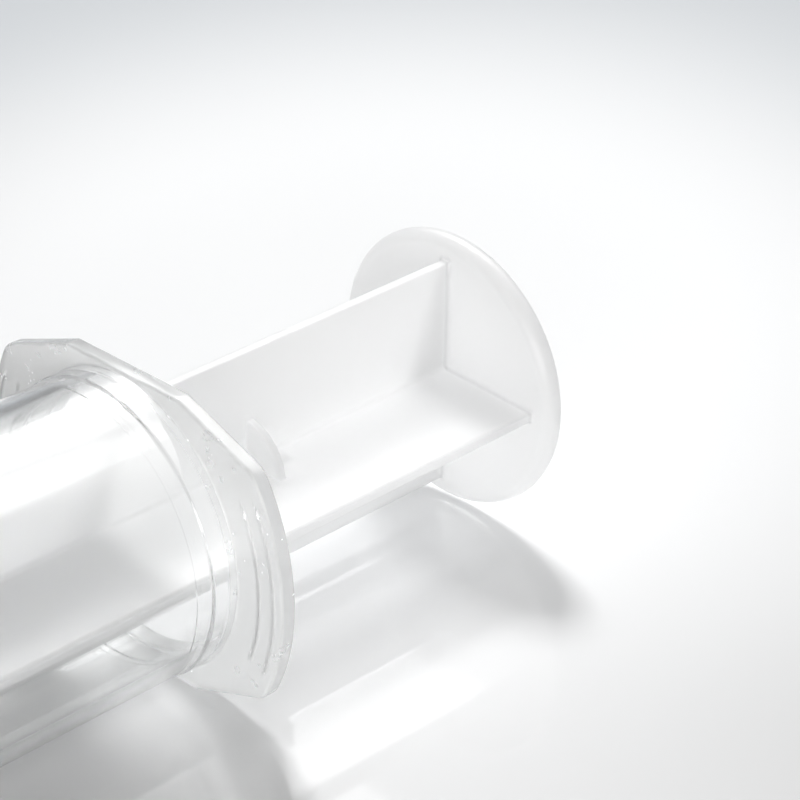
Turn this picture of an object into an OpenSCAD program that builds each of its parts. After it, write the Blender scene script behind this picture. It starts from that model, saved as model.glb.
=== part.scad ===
// Large piston syringe: clear barrel with a finger flange and a screw-lock tip,
// rubber stopper, and a cross-ribbed plunger rod drawn partly out.
// The axis lies along X, the tip's mouth is the origin, and the thumb disc points to +X.

/* [Barrel] */
// Outer diameter of the tube
tube_d = 32.5; // [31:0.5:40]
// Wall of the tube
tube_wall = 1.4; // [1:0.1:1.8]
// Bore between the scale's last line and the flange's finger side
end_room = 24.8; // [18:0.2:40]
// Length of the cone between the hub and the tube
shoulder_len = 3.6; // [2.5:0.1:6]
// Wall of the cone, measured along the axis
shoulder_wall = 1.9; // [1.4:0.1:2.6]
// Rounding of the shoulder's outer edge
shoulder_round = 1.6; // [0.8:0.1:2.4]

/* [Band and retaining ring] */
// Length of the thicker band next to the flange
band_len = 2.9; // [2:0.1:3.6]
// How far the band stands out of the tube
band_step = 0.4; // [0.2:0.05:0.6]
// Rounding where the band meets the flange
band_fillet = 0.25; // [0.1:0.05:0.4]
// Gap between the retaining ring and the flange's finger side
ring_gap = 0.4; // [0.2:0.1:2]
// Length of the retaining ring inside the bore
ring_len = 4.1; // [2:0.1:5]
// Height of the retaining ring above the bore
ring_step = 0.3; // [0.2:0.05:0.4]
// Chamfer at the mouth of the barrel
mouth_chamfer = 0.5; // [0.2:0.1:0.8]

/* [Finger flange] */
// Thickness of the flange
flange_t = 1.8; // [1.4:0.1:2.6]
// How far the flats stand out of the band
flat_proud = 0.2; // [0.1:0.05:4]
// Width of each flat
flat_w = 17; // [12:0.5:20]
// How far the ears stand out of the tube
ear_reach = 6.75; // [5:0.25:9]
// Slope of the straight edges from the flats to the ears
ear_slope = 20; // [16:1:26]
// Rounding of the ear corners
ear_round = 3; // [2:0.25:4]
// Radius of the bulged ear ends
ear_end_r = 24.9; // [22:0.1:32]
// Rounding of the flange's edges
edge_round = 0.4; // [0.2:0.05:0.6]
// Number of grip ridges on each ear
grip_count = 2; // [1:1:3]
// Distance between the grip ridges
grip_pitch = 2.1; // [1.6:0.1:2.4]
// Distance from the ear's end to the middle of the outer ridge
grip_inset = 1.3; // [1:0.1:1.8]
// Width of a ridge
grip_w = 0.8; // [0.4:0.1:1.2]
// Height of a ridge
grip_t = 0.35; // [0.2:0.05:0.6]
// Half of the angle that a ridge spans
grip_angle = 26; // [15:1:28]

/* [Tip and lock collar] */
// Radius of the tapered tip at its mouth
tip_r = 2; // [1.8:0.05:2.4]
// Growth of the tip's radius per millimetre of length
tip_taper_share = 0.03; // [0.02:0.005:0.04]
// Radius of the channel through the tip
lumen_r = 1.3; // [0.8:0.05:1.5]
// How far the tip stands out of the collar
tip_proud = 2.4; // [1.5:0.1:4]
// Depth of the collar's socket
socket_depth = 7.6; // [6:0.1:9]
// Radius of the socket
socket_r = 4; // [3.8:0.05:4.6]
// Wall of the collar
collar_wall = 1.7; // [1.2:0.1:2.2]
// Advance of the lock thread in one turn
thread_lead = 5; // [4:0.5:6]
// Height of the thread above the socket wall
thread_step = 0.45; // [0.3:0.05:0.6]
// Width of a thread ridge along the axis
thread_w = 1; // [0.6:0.1:1.4]

/* [Printed scale] */
// Volume at the last mark, in millilitres, which sets the length of the bore
scale_ml = 60; // [45:5:80]
// Width of a printed line
line_w = 0.35; // [0.25:0.05:0.5]
// Thickness of the ink
ink_t = 0.06; // [0.04:0.01:0.1]
// Arc length of the lines at every tenth millilitre
line_long = 13; // [10:0.5:16]
// Arc length of the lines at every fifth millilitre
line_mid = 9; // [7:0.5:12]
// Arc length of the other lines
line_short = 6; // [4:0.5:8]

/* [Stopper] */
// Length of the stopper, without its nose
stopper_len = 14; // [12:0.5:18]
// Length of each sealing ridge
seal_len = 2.6; // [1.6:0.1:3.4]
// Height of the sealing ridges above the waist
seal_step = 0.8; // [0.5:0.1:1.2]
// Running clearance of the sealing ridges in the bore
seal_gap = 0.05; // [0.03:0.01:0.09]
// Flat at the front of the nose
nose_r = 2.2; // [1.6:0.1:3]
// Clearance between the nose and the shoulder when pushed home
home_gap = 0.3; // [0.2:0.05:0.6]

/* [Plunger rod] */
// Gap between the thumb disc and the barrel's mouth when pushed home
press_gap = 8; // [4:0.5:20]
// Clearance between the vanes and the bore
vane_gap = 1.15; // [0.6:0.05:2.5]
// Thickness of a vane
vane_t = 1.25; // [1:0.05:2]
// Rounding in the corners where the vanes meet
root_round = 0.6; // [0.3:0.1:1.2]
// Turn of the rod about its axis
rod_turn = 3; // [0:1:45]
// Diameter of the thumb disc
thumb_d = 32.4; // [28:0.2:40]
// Thickness of the thumb disc
thumb_t = 2.7; // [1.6:0.1:3.5]
// Distance from the thumb disc to the small web disc
web_x = 28.3; // [10:0.5:40]
// Diameter of the small web disc
web_d = 11.4; // [8:0.2:16]
// Thickness of the small web disc
web_t = 1.2; // [0.8:0.1:2]
// Thickness of the seat disc behind the stopper
seat_t = 1.6; // [1.2:0.1:2.4]
// Radius of the neck inside the stopper
neck_r = 4.6; // [3.5:0.1:5.4]
// Length of the neck
neck_len = 3.2; // [2.4:0.1:4]
// Radius of the head that holds the stopper
head_r = 7; // [6:0.1:7.6]
// Length of the head
head_len = 5; // [4:0.1:6]
// Clearance between the rod's end and the stopper
snap_gap = 0.1; // [0.05:0.05:0.3]

/* [Position] */
// How far the plunger is drawn back from its home position
drawn = 34.6; // [0:0.2:90]

/* [Hidden] */

// Cuts run past a face, and parts of the barrel reach into each other, by this much
bite = tube_wall / 2;
fine = 96;
edge_steps = 4;
corner_steps = 6;
end_steps = 14;
thread_slices = 24;
// Side of a cube that holds one millilitre
ml_side = 10;

tube_r = tube_d / 2;
bore_r = tube_r - tube_wall;
collar_r = socket_r + collar_wall;
band_r = tube_r + band_step;
flat_z = band_r + flat_proud;
ear_tip = tube_r + ear_reach;
vane_r = bore_r - vane_gap;
ml_len = pow(ml_side, 3) / (PI * pow(bore_r, 2));

// Places along the axis
socket_floor = tip_proud + socket_depth;
cone_start = socket_floor + shoulder_wall;
bore_start = cone_start + shoulder_len;
zero_x = bore_start + home_gap + seal_len / 2;
flange_x = zero_x + scale_ml * ml_len + end_room;
mouth_x = flange_x + flange_t;
ring_end = flange_x - ring_gap;
ring_start = ring_end - ring_len;
band_start = flange_x - band_len;
stopper_x = bore_start + home_gap + drawn;
stopper_back = stopper_x + stopper_len;
seat_x = stopper_back + snap_gap;
rod_len = mouth_x + press_gap - (seat_x - drawn);

// The cone rises from the channel to the bore
cone_slope = shoulder_len / (bore_r - lumen_r);
cone_angle = atan(cone_slope);

// Points of an arc about a centre, from one angle to another
function arc(centre, r, from, to, steps) =
    [for (i = [0 : steps]) centre + r * [cos(from + (to - from) * i / steps), sin(from + (to - from) * i / steps)]];

// Place of the shoulder's outer face at a radius
function shoulder_at(r) = socket_floor + (r - lumen_r) * cone_slope;

// Turns what stands along Z to lie along X
module along_x(x = 0) {
    translate([x, 0, 0])
        rotate([90, 0, 90])
            children();
}

// Section of the barrel's outside: radius, then place along the axis
module barrel_outside() {
    // The rounding touches the cone and the tube
    round_x = shoulder_at(tube_r - shoulder_round) + shoulder_round / cos(cone_angle);
    polygon(concat(
        [[0, socket_floor], [collar_r, socket_floor], [collar_r, shoulder_at(collar_r)]],
        arc([tube_r - shoulder_round, round_x], shoulder_round, cone_angle - 90, 0, corner_steps),
        [[tube_r, band_start - band_step], [band_r, band_start]],
        arc([band_r + band_fillet, flange_x - band_fillet], band_fillet, 180, 90, corner_steps),
        [[band_r + band_fillet, mouth_x - bite], [0, mouth_x - bite]]
    ));
}

// Section of the bore, with the retaining ring left standing
module barrel_inside() {
    polygon([
        [0, cone_start], [lumen_r, cone_start], [bore_r, bore_start],
        [bore_r, ring_start], [bore_r - ring_step, ring_start + ring_step],
        [bore_r - ring_step, ring_end - ring_step], [bore_r, ring_end],
        [bore_r, mouth_x - mouth_chamfer], [bore_r + mouth_chamfer, mouth_x],
        [bore_r + mouth_chamfer, mouth_x + bite], [0, mouth_x + bite]
    ]);
}

// One ear's outline, from the lower flat round to the upper one.
// The corner's circle touches both the sloped edge and the bulged end.
function ear_outline(inset) = let (
    end_y = ear_tip - ear_end_r,
    swing_r = ear_end_r - ear_round,
    across = [sin(ear_slope), cos(ear_slope)],
    corner_angle = asin((across * [flat_w / 2 - end_y, flat_z] - ear_round) / swing_r) - ear_slope,
    corner_y = end_y + swing_r * cos(corner_angle),
    corner_z = swing_r * sin(corner_angle),
    corner_r = ear_round - inset,
    step = corner_angle / end_steps,
    edge_y = flat_w / 2 - inset * tan(ear_slope / 2),
    edge_z = flat_z - inset
) concat(
    [[edge_y, -edge_z]],
    arc([corner_y, -corner_z], corner_r, ear_slope - 90, -corner_angle, corner_steps),
    arc([end_y, 0], ear_end_r - inset, step - corner_angle, corner_angle - step, end_steps),
    arc([corner_y, corner_z], corner_r, corner_angle, 90 - ear_slope, corner_steps),
    [[edge_y, edge_z]]
);

// Whole outline of the flange, drawn in by an inset
module flange_outline(inset) {
    ear = ear_outline(inset);
    polygon(concat(ear, [for (p = ear) -p]));
}

// Flange plate with rounded edges
module flange_plate() {
    hull()
        for (i = [0 : edge_steps]) {
            inset = edge_round * (1 - sin(90 * i / edge_steps));
            depth = edge_round * (1 - cos(90 * i / edge_steps));
            translate([0, 0, depth])
                linear_extrude(flange_t - 2 * depth)
                    flange_outline(inset);
        }
}

// Raised ridges on the finger side of one ear, following its end
module grip_ridges() {
    for (i = [0 : grip_count - 1]) {
        middle_r = ear_end_r - grip_inset - i * grip_pitch;
        translate([ear_tip - ear_end_r, 0, -grip_t])
            rotate([0, 0, -grip_angle])
                rotate_extrude(angle = 2 * grip_angle, $fn = fine)
                    translate([middle_r - grip_w / 2, 0])
                        square([grip_w, grip_t + bite]);
    }
}

// Two thread ridges standing out of the socket wall
module lock_thread() {
    ridge_angle = 360 * thread_w / thread_lead;
    thread_len = socket_depth - thread_w;
    for (start = [0, 180])
        rotate([0, 0, start])
            translate([0, 0, tip_proud])
                linear_extrude(thread_len, twist = -360 * thread_len / thread_lead, slices = thread_slices)
                    polygon(concat(
                        arc([0, 0], socket_r + thread_step, 0, ridge_angle, corner_steps),
                        arc([0, 0], socket_r - thread_step, ridge_angle, 0, corner_steps)
                    ));
}

// Tapered tip inside the collar
module tip() {
    tip_round = (tip_r - lumen_r) / 2;
    tip_len = socket_floor + bite;
    rotate_extrude($fn = fine)
        polygon(concat(
            [[0, 0]],
            arc([tip_r - tip_round, tip_round], tip_round, -90, 0, corner_steps),
            [[tip_r + tip_len * tip_taper_share, tip_len], [0, tip_len]]
        ));
}

// Collar round the tip
module lock_collar() {
    rim = collar_wall / 4;
    rotate_extrude($fn = fine)
        polygon([
            [socket_r, tip_proud + rim], [socket_r + rim, tip_proud], [collar_r - rim, tip_proud],
            [collar_r, tip_proud + rim], [collar_r, shoulder_at(collar_r) + bite / 2],
            [socket_r, shoulder_at(socket_r) + bite / 2]
        ]);
}

module barrel() {
    color([0.93, 0.95, 0.97, 0.5])
        along_x()
            difference() {
                union() {
                    rotate_extrude($fn = fine)
                        barrel_outside();
                    translate([0, 0, flange_x])
                        for (side = [0, 180])
                            rotate([0, 0, side])
                                grip_ridges();
                    translate([0, 0, flange_x])
                        flange_plate();
                    tip();
                    lock_collar();
                    lock_thread();
                }
                rotate_extrude($fn = fine)
                    barrel_inside();
                translate([0, 0, -bite])
                    cylinder(h = cone_start + 2 * bite, r = lumen_r, $fn = fine);
            }
}

// Printed lines on top of the tube, one for each millilitre
module scale_marks() {
    color([0.1, 0.12, 0.16])
        for (ml = [0 : scale_ml]) {
            length = ml % 10 == 0 ? line_long : ml % 5 == 0 ? line_mid : line_short;
            span = 360 * length / (PI * tube_d);
            along_x(zero_x + ml * ml_len - line_w / 2)
                rotate([0, 0, 90 - span])
                    rotate_extrude(angle = span, $fn = fine)
                        translate([tube_r, 0])
                            square([ink_t, line_w]);
        }
}

// Section of the stopper: radius, then place behind its front edge
module stopper_outside() {
    seal_r = bore_r - seal_gap;
    waist_r = seal_r - seal_step;
    nose_rise = (seal_r - nose_r) * cone_slope;
    soft = seal_step / 2;
    // The front rounding touches the nose's cone
    round_x = soft / cos(cone_angle) - soft * cone_slope;
    polygon(concat(
        [[0, -nose_rise], [nose_r, -nose_rise]],
        arc([seal_r - soft, round_x], soft, cone_angle - 90, 0, corner_steps),
        [[seal_r, seal_len - soft], [waist_r, seal_len]],
        [[waist_r, (stopper_len - seal_len) / 2], [seal_r, stopper_len / 2 - soft],
            [seal_r, stopper_len / 2 + soft], [waist_r, (stopper_len + seal_len) / 2]],
        [[waist_r, stopper_len - seal_len], [seal_r, stopper_len - seal_len + soft]],
        arc([seal_r - soft, stopper_len - soft], soft, 0, 90, corner_steps),
        [[0, stopper_len]]
    ));
}

// Section of the rod's end that snaps into the stopper, grown by a clearance
module snap_section(grow) {
    back = seat_t;
    neck_end = -neck_len + grow;
    head_end = -neck_len - head_len - grow;
    polygon([
        [0, back], [neck_r + grow, back], [neck_r + grow, neck_end],
        [head_r + grow, neck_end], [head_r + grow, neck_end - head_len / 2],
        [neck_r + grow, head_end], [0, head_end]
    ]);
}

module stopper() {
    color([0.16, 0.17, 0.18])
        along_x(stopper_x)
            difference() {
                rotate_extrude($fn = fine)
                    stopper_outside();
                translate([0, 0, stopper_len + snap_gap])
                    rotate_extrude($fn = fine)
                        snap_section(snap_gap);
            }
}

// Section of the thumb disc with a rounded rim
module thumb_section() {
    rim = thumb_t / 2;
    square([thumb_d / 2 - rim, thumb_t]);
    translate([thumb_d / 2 - rim, rim])
        circle(rim, $fn = fine);
}

// Strip that fills the corner between two walls and leaves it rounded
module corner_strip(length) {
    sunk = vane_t / 4;
    linear_extrude(length)
        difference() {
            translate([-sunk, -sunk])
                square(root_round + sunk);
            translate([root_round, root_round])
                circle(root_round, $fn = fine);
        }
}

// The four vanes, along Z
module vanes() {
    for (turn = [0, 90])
        rotate([0, 0, turn])
            translate([-vane_r, -vane_t / 2, 0])
                cube([2 * vane_r, vane_t, rod_len + thumb_t / 2]);
    for (turn = [0 : 90 : 270])
        rotate([0, 0, turn])
            translate([vane_t / 2, vane_t / 2, 0])
                corner_strip(rod_len + thumb_t / 2);
}

// Rounded corners where each vane meets the thumb disc
module thumb_corners() {
    for (turn = [0 : 90 : 270], side = [0, 1])
        rotate([0, 0, turn])
            mirror([0, side, 0])
                translate([0, vane_t / 2, rod_len])
                    rotate([0, 90, 0])
                        corner_strip(vane_r);
}

module plunger_rod() {
    color([0.92, 0.93, 0.94, 0.8])
        rotate([rod_turn, 0, 0])
            along_x(seat_x) {
                vanes();
                thumb_corners();
                translate([0, 0, rod_len])
                    rotate_extrude($fn = fine)
                        thumb_section();
                translate([0, 0, rod_len - web_x - web_t])
                    cylinder(h = web_t, d = web_d, $fn = fine);
                cylinder(h = seat_t, r = vane_r, $fn = fine);
                rotate_extrude($fn = fine)
                    snap_section(0);
            }
}

barrel();
scale_marks();
stopper();
plunger_rod();
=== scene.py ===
"""Dresses a large clear piston syringe and sets it on a glossy white table.

The packed model is the frame: every piece is built in its place, in metres,
and rides on the body that carries it.
"""

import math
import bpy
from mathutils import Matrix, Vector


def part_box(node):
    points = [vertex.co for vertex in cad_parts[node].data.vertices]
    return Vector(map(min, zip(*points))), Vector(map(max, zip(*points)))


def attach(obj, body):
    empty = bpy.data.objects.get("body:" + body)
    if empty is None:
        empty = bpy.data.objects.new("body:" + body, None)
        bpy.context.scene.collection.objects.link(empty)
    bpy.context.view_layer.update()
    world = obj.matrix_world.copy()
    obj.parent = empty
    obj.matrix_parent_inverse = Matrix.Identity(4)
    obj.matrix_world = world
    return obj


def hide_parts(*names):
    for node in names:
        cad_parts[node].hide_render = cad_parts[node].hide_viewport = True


bl_info = {
    "name": "Clear Piston Syringe",
    "version": (1, 0, 0),
    "blender": (4, 5, 0),
    "location": "3D View > Sidebar > Syringe",
    "description": "Builds the looks of a clear piston syringe and its studio table",
    "category": "Object",
}

import bmesh
import bpy
import numpy as np
from bpy.props import FloatProperty, FloatVectorProperty, IntProperty, PointerProperty
from mathutils import Matrix, Vector

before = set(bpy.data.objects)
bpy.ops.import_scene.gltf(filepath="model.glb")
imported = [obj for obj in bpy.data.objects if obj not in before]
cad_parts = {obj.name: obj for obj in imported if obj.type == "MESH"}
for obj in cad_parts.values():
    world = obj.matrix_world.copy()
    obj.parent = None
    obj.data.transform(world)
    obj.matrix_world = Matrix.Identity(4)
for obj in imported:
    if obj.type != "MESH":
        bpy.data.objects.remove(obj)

MM = 0.001

# Width of the photograph in its own pixels
PICTURE = 800

# The packed solids give the outer places
BARREL_LOW, BARREL_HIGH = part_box("barrel")
ROD_LOW, ROD_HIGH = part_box("plunger_rod")
MARKS_LOW, MARKS_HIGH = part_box("scale_marks")


# Sizes and colours


def length(name, text, value):
    """A property that holds a length, its default given in millimetres."""
    return FloatProperty(
        name=name, description=text, default=value * MM, min=0, unit="LENGTH", subtype="DISTANCE", precision=5
    )


def share(name, text, value):
    """A property that holds a value from 0 to 1."""
    return FloatProperty(name=name, description=text, default=value, min=0, max=1, subtype="FACTOR")


def angle(name, text, degrees):
    """A property that holds an angle."""
    return FloatProperty(name=name, description=text, default=math.radians(degrees), subtype="ANGLE")


def colour(name, text, value):
    """A property that holds a linear colour."""
    return FloatVectorProperty(
        name=name, description=text, default=value, size=3, min=0, max=1, subtype="COLOR"
    )


def metres(name, text, value):
    """A property that holds two or three lengths, which may be below zero."""
    return FloatVectorProperty(
        name=name, description=text, default=value, size=len(value), unit="LENGTH", precision=5
    )


def number(name, text, value, subtype="NONE"):
    """A property that holds a plain number, zero or more."""
    return FloatProperty(name=name, description=text, default=value, min=0, subtype=subtype)


class SyringeBarrelSizes(bpy.types.PropertyGroup):
    """Sizes of the clear barrel that the packed box doesn't give."""

    tube_r: length("Tube radius", "Outer radius of the tube", 16.25)
    wall: length("Tube wall", "Wall of the tube", 1.4)
    band_step: length("Band step", "How far the band at the flange stands out", 0.22)
    band_len: length("Band length", "Length of the band at the flange", 2.9)
    band_fillet: length("Band fillet", "Rounding between band and flange", 0.25)
    band_root: length("Band root", "Rounding where the band's slope leaves the tube", 0.5)
    band_round: length("Band rounding", "Rounding where the band's slope ends", 0.3)
    ring_gap: length("Ring gap", "From the retaining ring to the flange's finger side", 0.4)
    ring_len: length("Ring length", "Length of the retaining ring", 4.1)
    ring_step: length("Ring step", "Height of the retaining ring", 0.03)
    ring_back: length("Ring back rounding", "Rounding of the ring's end at the flange", 2)
    ring_front: length("Ring front rounding", "Rounding of the ring's end in the tube", 4)
    mouth_round: length("Mouth rounding", "Rounding of the bore at the barrel's mouth", 0.5)
    flange_t: length("Flange thickness", "Thickness of the finger flange", 1.8)
    flat_w: length("Flat width", "Width of each flat of the flange", 17)
    ear_slope: angle("Ear slope", "Slope of the straight edges beside the flats", 20)
    ear_round: length("Ear rounding", "Rounding of the ear corners", 3)
    ear_end_r: length("Ear end radius", "Radius of the bulged ear ends", 24.9)
    edge_round: length("Edge rounding", "Rounding of the flange's edges", 0.4)
    grip_pitch: length("Grip pitch", "Distance between the grip ridges", 2.1)
    grip_inset: length("Grip inset", "From the ear's end to the outer ridge", 1.3)
    grip_w: length("Grip width", "Width of a grip ridge", 0.8)
    grip_t: length("Grip height", "Height of a grip ridge", 0.35)
    grip_angle: angle("Grip angle", "Half of the angle that a ridge spans", 26)
    grip_fade: angle("Grip fade", "Angle over which a ridge's ends sink in", 5)
    tip_r: length("Tip radius", "Radius of the tapered tip at its mouth", 2)
    tip_round: length("Tip rounding", "Rounding of the tip's edge", 0.35)
    lumen_r: length("Channel radius", "Radius of the channel through the tip", 1.3)
    tip_proud: length("Tip proud", "How far the tip stands out of the collar", 2.4)
    socket_depth: length("Socket depth", "Depth of the collar's socket", 7.6)
    socket_r: length("Socket radius", "Radius of the collar's socket", 4)
    socket_round: length("Socket rounding", "Rounding at the floor of the socket", 0.3)
    collar_wall: length("Collar wall", "Wall of the collar", 1.7)
    collar_root: length("Collar root", "Rounding where the collar meets the shoulder", 0.4)
    thread_lead: length("Thread lead", "Advance of the lock thread in one turn", 5)
    thread_step: length("Thread height", "Height of the lock thread", 0.4)
    thread_start: length("Thread start", "From each end of the socket to the threaded wall", 0.7)
    shoulder_wall: length("Shoulder wall", "Wall of the shoulder along the axis", 1.9)
    shoulder_len: length("Shoulder length", "Rise of the shoulder's cone", 3.6)
    shoulder_round: length("Shoulder rounding", "Rounding of the shoulder's outer edge", 1.6)
    bore_round: length("Bore rounding", "Rounding where the bore meets the shoulder's cone", 0.6)
    cone_round: length("Cone rounding", "Rounding where the cone meets the channel", 0.4)
    taper: share("Tip taper", "Growth of the tip's radius for its length", 0.03)


class SyringeRodSizes(bpy.types.PropertyGroup):
    """Sizes of the milky plunger rod that the packed box doesn't give."""

    vane_r: length("Vane reach", "From the axis to a vane's edge", 13.7)
    vane_t: length("Vane thickness", "Thickness of a vane", 1.25)
    vane_round: length("Vane rounding", "Rounding of the vanes' long edges", 0.28)
    root_round: length("Root rounding", "Rounding where the vanes meet", 0.6)
    thumb_t: length("Thumb disc thickness", "Thickness of the thumb disc", 2.7)
    web_x: length("Web place", "From the thumb disc to the small web disc", 28.3)
    web_r: length("Web radius", "Radius of the small web disc", 5.7)
    web_t: length("Web thickness", "Thickness of the small web disc", 1.2)
    web_round: length("Web rounding", "Rounding of the small web disc's edges", 0.3)
    seat_t: length("Seat thickness", "Thickness of the seat disc", 1.6)
    seat_round: length("Seat rounding", "Rounding of the seat disc's edges", 0.35)
    neck_r: length("Neck radius", "Radius of the neck in the stopper", 4.6)
    neck_len: length("Neck length", "Length of the neck", 3.2)
    neck_round: length("Neck rounding", "Rounding at each end of the neck", 0.3)
    head_r: length("Head radius", "Radius of the snap head", 7)
    head_len: length("Head length", "Length of the snap head", 5)
    head_edge: length("Head edge", "Rounding of the snap head's ends", 0.4)
    head_bulge: length("Head bulge", "Rounding where the snap head stops widening", 0.5)
    turn: angle("Turn", "Turn of the rod about its axis", 3)


class SyringePrintSizes(bpy.types.PropertyGroup):
    """Sizes of the printed scale."""

    lines: IntProperty(name="Lines", description="Number of printed lines", default=61, min=2)
    long_every: IntProperty(name="Long every", description="Lines to the next long one", default=10, min=1)
    middle_every: IntProperty(name="Middle every", description="Lines to a middle one", default=5, min=1)
    line_w: length("Line width", "Width of a printed line", 0.35)
    ink_t: length("Ink thickness", "Thickness of the ink", 0.05)
    long: length("Long line", "Arc length of a long line", 13)
    middle: length("Middle line", "Arc length of a middle line", 9)
    short: length("Short line", "Arc length of the other lines", 6)
    digit_h: length("Digit height", "Height of the numbers", 4.2)
    digit_gap: length("Digit gap", "From the numbers to the lines", 1)


class SyringeFinishes(bpy.types.PropertyGroup):
    """Colours and clearness of the plastics, the rubber, the ink and the table."""

    clear: colour("Clear plastic", "Tint of the clear barrel", (0.98, 0.985, 0.985))
    tube_clear: share("Clear tube", "How clear the tube is", 0.93)
    face_clear: share("Clear flange face", "How clear the flange's faces are", 0.52)
    rim_clear: share("Clear flange rim", "How clear the flange's rim is", 0.68)
    milky: colour("Milky plastic", "Colour of the plunger rod", (0.89, 0.893, 0.897))
    milky_clear: share("Clear rod", "How clear the plunger rod is", 0.12)
    # Painted shade: the rod's colour is darkened by this factor where its vanes meet one another and the
    # thumb disc
    milky_dense: share("Rod corner shade", "Tone of the rod's colour where its walls meet", 0.8)
    milky_depth: length("Milky depth", "How far light spreads in the plunger rod", 12)
    rubber: colour("Rubber", "Colour of the stopper", (0.018, 0.019, 0.021))
    ink: colour("Ink", "Colour of the print", (0.012, 0.014, 0.02))
    table: colour("Table", "Colour of the table's middle", (0.96, 0.965, 0.97))
    # Painted shade on the table: its colour round the lit middle, and cooler behind the syringe
    table_near: colour("Near table", "Colour of the table round its middle", (0.62, 0.62, 0.62))
    table_far: colour("Far table", "Colour of the table behind the syringe", (0.6, 0.62, 0.64))
    tube_pass: share("Light through tube", "Lamps' light that passes each face of the tube", 0.52)
    flange_pass: share("Light through flange", "Lamps' light that passes each face of the flange", 0.24)
    vane_pass: share("Light through vanes", "Lamps' light that passes each face of the vanes", 0.78)
    disc_pass: share("Light through disc", "Lamps' light that passes each face of the thumb disc", 0.4)


class SyringeStudio(bpy.types.PropertyGroup):
    """Places and strengths of the camera and the lights."""

    azimuth: angle("Azimuth", "Way the camera looks, from +Y towards +X", 43.264)
    elevation: angle("Elevation", "How far the camera looks down", 28.545)
    roll: angle("Roll", "Turn of the picture", -1.288)
    distance: length("Distance", "From the camera to the thumb disc, along its view", 312.85)
    focal: number("Focal length", "Focal length in picture widths", 2823.07 / PICTURE)
    disc_u: number("Disc across", "Picture column of the thumb disc", 442.81)
    disc_v: number("Disc down", "Picture row of the thumb disc", 370.20)
    aim: metres("Aim", "Point on the axis that the lamps face", (0.15, 0, 0))
    key_off: metres("Core's place", "From the aim to the bright core", (0.42, 0.54, 1))
    key_size: metres("Core's size", "Width and height of the bright core", (0.24, 0.24))
    key_power: number("Core's power", "Power of the bright core", 9.9, "POWER")
    softbox_off: metres("Softbox's place", "From the aim to the wide softbox", (0.55, 0.45, 1.02))
    softbox_size: metres("Softbox's size", "Width and height of the wide softbox", (0.8, 1.4))
    softbox_power: number("Softbox's power", "Power of the wide softbox", 5.6, "POWER")
    front_off: metres("Front light's place", "From the aim to the front light", (-0.72, -0.68, 0.15))
    front_size: metres("Front light's size", "Width and height of the front light", (0.8, 0.25))
    front_power: number("Front light's power", "Power of the front light", 5.8, "POWER")
    box_glow: number("Softbox glow", "Strength of the softbox seen in gloss", 3)
    fill: number("Fill", "Strength of the room's light", 0.2)


# Mesh work


# Points closer than this are one point
SAME_PLACE = 0.0001 * MM

# Share of a line that a corner's rounding may take, with a second rounding on it and alone
SHARED_ROOM, OWN_ROOM = 0.45, 0.9

# How far outside a rounding the points that hold it lie, as a share of its reach
HOLD = 0.12


def round_profile(points, steps=4):
    """An open line of (x, r, rounding) with its corners rounded, and held by close points."""
    line = []
    for i, (x, r, radius) in enumerate(points):
        here = np.array((x, r))
        if radius <= 0 or i in (0, len(points) - 1):
            line.append(here)
            continue
        before = np.array(points[i - 1][:2]) - here
        after = np.array(points[i + 1][:2]) - here
        before_len, after_len = np.linalg.norm(before), np.linalg.norm(after)
        before, after = before / before_len, after / after_len
        half = math.acos(np.clip(before @ after, -1, 1)) / 2
        room_before = before_len * (SHARED_ROOM if points[i - 1][2] else OWN_ROOM)
        room_after = after_len * (SHARED_ROOM if points[i + 1][2] else OWN_ROOM)
        reach = min(radius / math.tan(half), room_before, room_after)
        radius = reach * math.tan(half)
        middle = here + (before + after) / np.linalg.norm(before + after) * radius / math.sin(half)
        start, end = here + before * reach, here + after * reach
        line.append(start + before * HOLD * reach)
        for k in range(steps + 1):
            part = start + (end - start) * k / steps - middle
            line.append(middle + part / np.linalg.norm(part) * radius)
        line.append(end + after * HOLD * reach)
    return line


def arc(steps, turn=math.pi / 2):
    """Pairs of 1 - cos and 1 - sin at even steps of a turn, which take a rounding from face to face."""
    turns = np.linspace(0, turn, steps + 1)
    return list(zip(1 - np.cos(turns), 1 - np.sin(turns)))


class Lathe:
    """Rings of points round the axis, at the angles given."""

    def __init__(self, turns):
        self.turns = turns

    def ring(self, x, r):
        """One ring, its place and its radius given as one value or as one for each angle."""
        x, r = (np.broadcast_to(value, self.turns.shape) for value in (x, r))
        return np.stack([x, r * np.cos(self.turns), r * np.sin(self.turns)], 1)

    def profile(self, points, steps=4):
        """The rings of a rounded line."""
        return [self.ring(x, r) for x, r in round_profile(points, steps)]


def loft(name, rings, closed_along, materials):
    """A mesh through rings of points, joined round, and along as a loop or with capped ends."""
    rings = [np.asarray(ring, float) for ring in rings]
    count, around = len(rings), len(rings[0])
    points = np.concatenate(rings)
    faces = []
    for i in range(count if closed_along else count - 1):
        a, b = i * around, (i + 1) % count * around
        for k in range(around):
            n = (k + 1) % around
            faces.append((a + k, a + n, b + n, b + k))
    if not closed_along:
        points = np.concatenate([points, rings[0].mean(0, keepdims=True), rings[-1].mean(0, keepdims=True)])
        first, last = len(points) - 2, len(points) - 1
        for k in range(around):
            n = (k + 1) % around
            faces.append((first, n, k))
            faces.append((last, (count - 1) * around + k, (count - 1) * around + n))
    mesh = bpy.data.meshes.new(name)
    mesh.from_pydata(points.tolist(), [], faces)
    work = bmesh.new()
    work.from_mesh(mesh)
    bmesh.ops.remove_doubles(work, verts=work.verts, dist=SAME_PLACE)
    bmesh.ops.recalc_face_normals(work, faces=work.faces)
    work.to_mesh(mesh)
    work.free()
    mesh.shade_smooth()
    for material in materials:
        mesh.materials.append(material)
    return show(name, mesh)


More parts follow.
